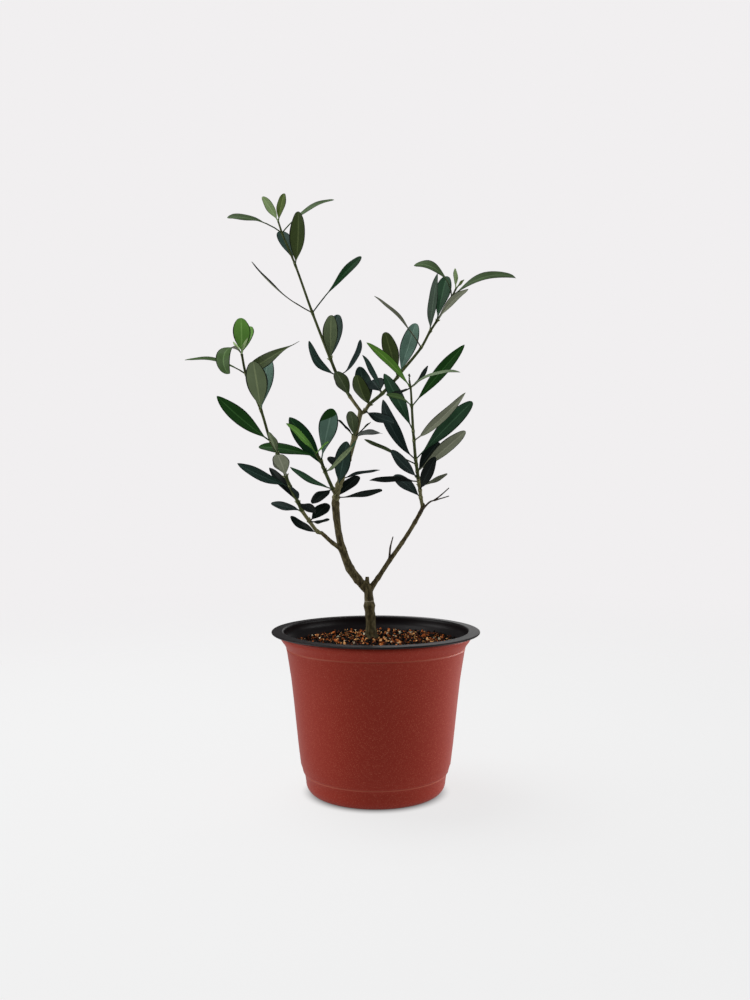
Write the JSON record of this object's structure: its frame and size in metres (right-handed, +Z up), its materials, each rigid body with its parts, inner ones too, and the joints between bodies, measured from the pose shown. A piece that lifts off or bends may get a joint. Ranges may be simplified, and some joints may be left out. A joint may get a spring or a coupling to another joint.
{
  "type": "potted olive tree",
  "caption": "Young olive tree with a forked stem and leafy sprays, growing in a round plastic nursery pot filled with bark mix; stands on its flat base.",
  "frame": {"origin": "centre of the pot's flat underside", "axes": "+Z up along the pot's axis, -Y towards the viewer of the picture, +X to the viewer's right"},
  "size_m": [0.2332, 0.1631, 0.4465],
  "materials": {
    "brick_plastic": "satin moulded plastic, brick red",
    "black_plastic": "satin moulded plastic, black",
    "potting_mix": "moist bark chips and peat",
    "bark": "young grey-brown bark",
    "leaves": "leathery, dark green above and grey-green below"
  },
  "bodies": {
    "root": {"pot_wall": "brick_plastic", "pot_lining": "black_plastic", "soil": "potting_mix", "trunk": "bark", "main_stem": "bark", "left_bough": "bark", "right_bough": "bark", "centre_spray": "leaves", "short_spray": "leaves", "left_spray": "leaves", "right_spray": "leaves", "crown_right_spray": "leaves", "crown_left_spray": "leaves"}
  },
  "joints": []
}
